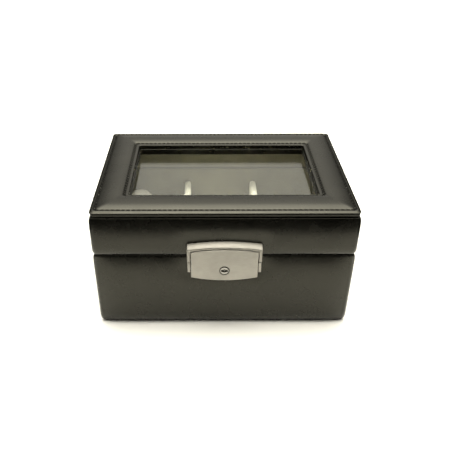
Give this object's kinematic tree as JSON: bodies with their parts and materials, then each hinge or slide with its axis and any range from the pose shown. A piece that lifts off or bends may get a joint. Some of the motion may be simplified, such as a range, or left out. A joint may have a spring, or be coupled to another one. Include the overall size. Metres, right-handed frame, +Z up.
{
  "type": "watch box",
  "caption": "Black leather watch box with a stitched, padded lid, a glass window, a nickel push lock and a suede inside with watch places and pillows.",
  "frame": {"origin": "centre of the face the box stands on, in the middle of its width and depth", "axes": "+Z up, -Y towards the front with the lock, +X to the right as seen from the front"},
  "size_m": [0.16, 0.1229, 0.0844],
  "materials": {
    "board": "matt fibreboard",
    "felt": "short black felt",
    "foam": "soft foam",
    "leather_top": "black imitation leather, fine grain, semi-gloss",
    "leather_side": "black imitation leather, fine grain, semi-gloss",
    "leather_trim": "black imitation leather, glossy edge",
    "suede_lining": "grey-beige suede cloth",
    "suede_divider": "cream suede cloth",
    "suede_pillow": "light grey-beige suede cloth",
    "glass": "clear polished",
    "lock_nickel": "satin nickel plate",
    "cylinder_steel": "polished, worn",
    "hinge_nickel": "satin nickel plate",
    "inner_steel": "plain steel"
  },
  "bodies": {
    "base": {"base_front_board": "board", "base_back_board": "board", "base_left_board": "board", "base_right_board": "board", "base_bottom_board": "board", "base_foam": "foam", "base_leather": "leather_side", "base_felt": "felt", "base_front_lining": "suede_lining", "base_back_lining": "suede_lining", "base_left_lining": "suede_lining", "base_right_lining": "suede_lining", "floor_lining": "suede_lining", "left_divider": "suede_divider", "right_divider": "suede_divider", "left_hinge_lower_leaf": "hinge_nickel", "right_hinge_lower_leaf": "hinge_nickel", "hinge_pins": "hinge_nickel", "lower_hinge_screws": "inner_steel", "lock_body": "lock_nickel", "lock_pivot_pins": "inner_steel", "lock_springs": "inner_steel", "lock_screws": "inner_steel"},
    "lid": {"lid_front_board": "board", "lid_back_board": "board", "lid_left_board": "board", "lid_right_board": "board", "lid_top_board": "board", "lid_side_foam": "foam", "lid_top_foam": "foam", "lid_side_leather": "leather_side", "lid_top_leather": "leather_top", "lid_welt": "leather_trim", "window_bead": "leather_trim", "glass_pane": "glass", "glass_spacer": "board", "glass_retainer": "suede_lining", "lid_front_lining": "suede_lining", "lid_back_lining": "suede_lining", "lid_left_lining": "suede_lining", "lid_right_lining": "suede_lining", "left_hinge_upper_leaf": "hinge_nickel", "right_hinge_upper_leaf": "hinge_nickel", "upper_hinge_screws": "inner_steel", "hasp_cover": "lock_nickel", "hasp_catch": "inner_steel", "hasp_screws": "inner_steel"},
    "lock_plate": {"lock_plate": "lock_nickel", "latch_hook": "inner_steel", "cylinder_ring": "cylinder_steel"},
    "key_cylinder": {"key_cylinder": "cylinder_steel", "lock_cam": "inner_steel"},
    "left_pillow": {"left_pillow": "suede_pillow"},
    "middle_pillow": {"middle_pillow": "suede_pillow"},
    "right_pillow": {"right_pillow": "suede_pillow"}
  },
  "joints": [
    {"name": "lid_hinge", "type": "hinge", "parent": "base", "child": "lid", "pos_m": [0, 0.0585, 0.0543], "axis": [-1, 0, 0], "range_deg": [0, 98]},
    {"name": "lock_press", "type": "hinge", "parent": "base", "child": "lock_plate", "pos_m": [0, -0.0588, 0.048], "axis": [1, 0, 0], "range_deg": [0, 8], "stiffness_Nm_per_rad": 0.06, "springref_deg": -5.73, "deforming": ["lock_springs"]},
    {"name": "key_turn", "type": "hinge", "parent": "lock_plate", "child": "key_cylinder", "pos_m": [0, -0.0588, 0.0467], "axis": [0, 1, 0], "range_deg": [0, 90]},
    {"name": "left_pillow_lift", "type": "slide", "parent": "base", "child": "left_pillow", "axis": [0, 0, 1], "range_m": [0, 0.025]},
    {"name": "middle_pillow_lift", "type": "slide", "parent": "base", "child": "middle_pillow", "axis": [0, 0, 1], "range_m": [0, 0.025]},
    {"name": "right_pillow_lift", "type": "slide", "parent": "base", "child": "right_pillow", "axis": [0, 0, 1], "range_m": [0, 0.025]}
  ]
}
